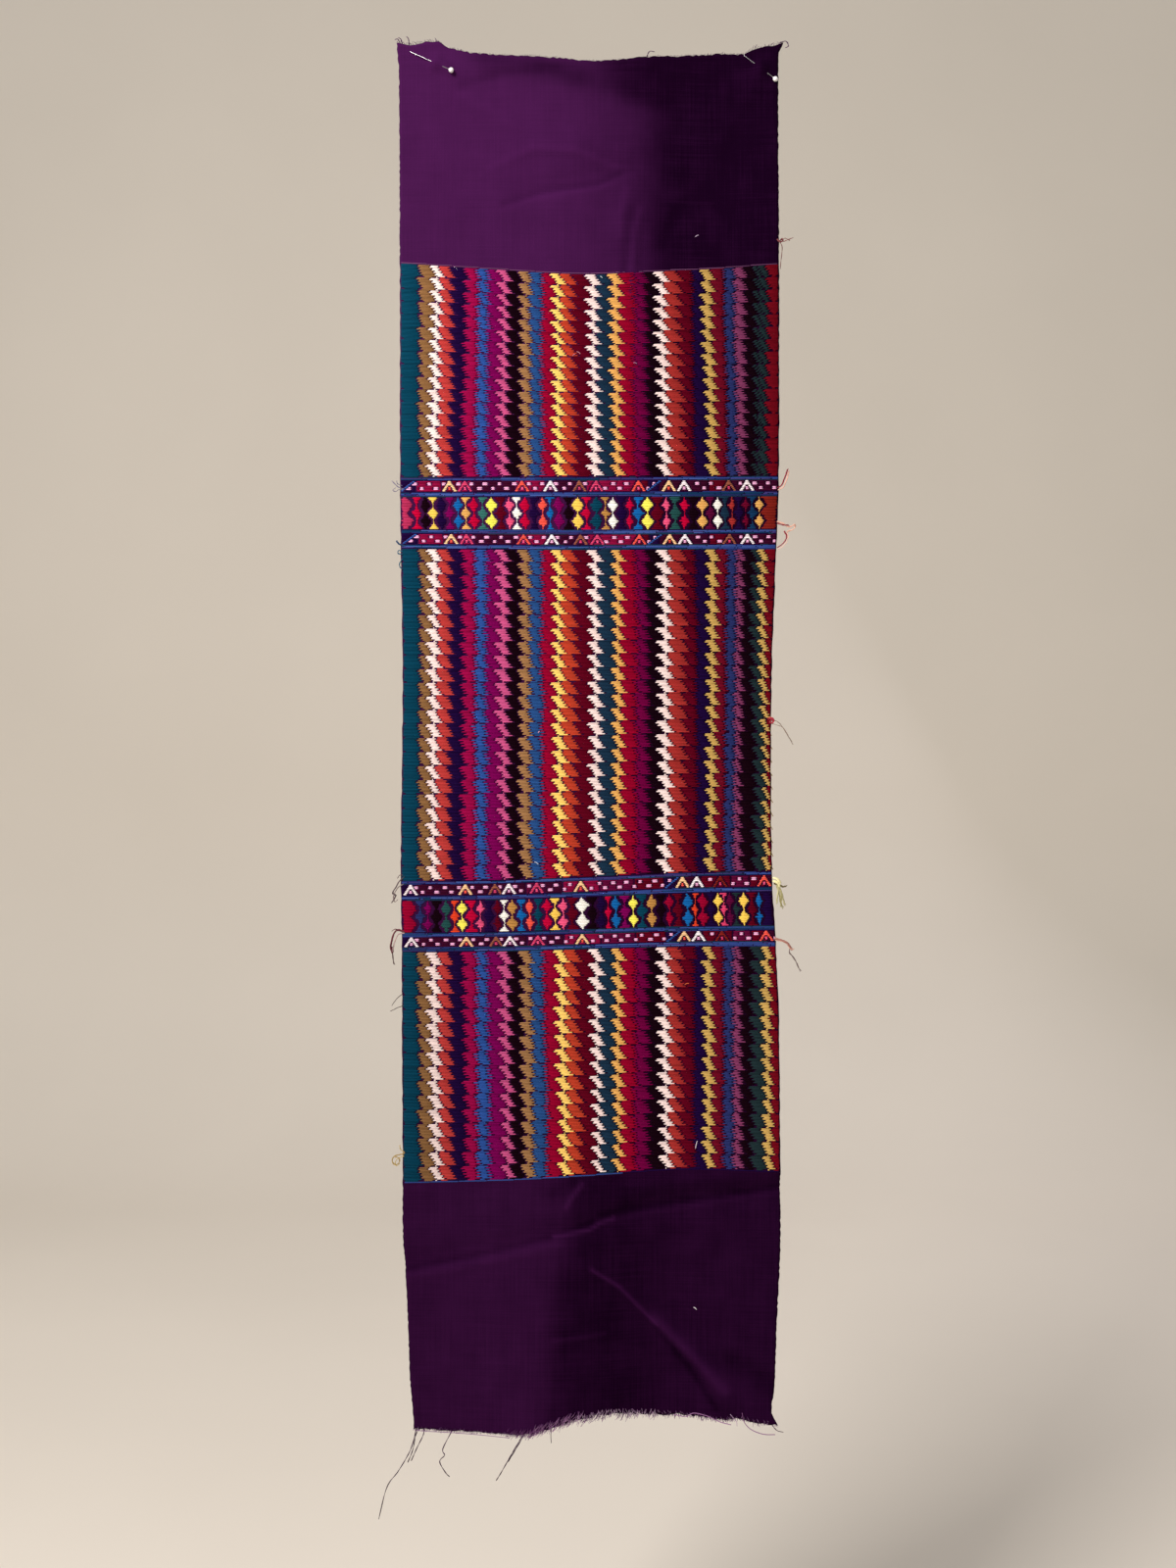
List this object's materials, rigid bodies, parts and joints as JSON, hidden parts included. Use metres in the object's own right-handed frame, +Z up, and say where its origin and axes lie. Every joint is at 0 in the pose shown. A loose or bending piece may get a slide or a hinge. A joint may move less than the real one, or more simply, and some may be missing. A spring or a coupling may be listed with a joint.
{
  "type": "brocaded textile panel with two hanging pins",
  "caption": "Long narrow hand woven cotton panel with zigzag brocade fields, banded borders and frayed ends, hung by its top corners on ball headed pins.",
  "frame": {"origin": "middle of the cloth's top edge, where it hangs lowest between the two pins", "axes": "+Z up along the length of the hanging cloth, -Y out of its brocaded face towards the viewer, +X to the viewer's right along its width"},
  "size_m": [0.3669, 0.0232, 1.2869],
  "materials": {
    "purple_cotton": "plain woven cotton, slightly lustrous",
    "frayed_cotton": "loose cotton yarn ends, matt",
    "red_yarn": "loose embroidery cotton, matt",
    "mauve_yarn": "loose embroidery cotton, matt",
    "grey_blue_yarn": "loose embroidery cotton, matt",
    "yellow_yarn": "loose embroidery cotton, matt",
    "beige_yarn": "loose embroidery cotton, matt",
    "pin_steel": "drawn and polished steel wire",
    "pin_head": "glossy white moulded plastic ball"
  },
  "bodies": {
    "root": {"cloth_panel": "purple_cotton", "top_fray": "frayed_cotton", "hem_fringe": "frayed_cotton", "loose_end_right_1": "red_yarn", "loose_end_right_2": "red_yarn", "loose_end_right_3": "red_yarn", "loose_end_right_4": "red_yarn", "loose_end_right_5": "yellow_yarn", "loose_end_right_6": "mauve_yarn", "loose_end_left_1": "grey_blue_yarn", "loose_end_left_2": "grey_blue_yarn", "loose_end_left_3": "mauve_yarn", "loose_end_left_4": "red_yarn", "loose_end_left_5": "mauve_yarn", "loose_end_left_6": "beige_yarn", "pin_left_shank": "pin_steel", "pin_left_head": "pin_head", "pin_right_shank": "pin_steel", "pin_right_head": "pin_head"}
  },
  "joints": []
}
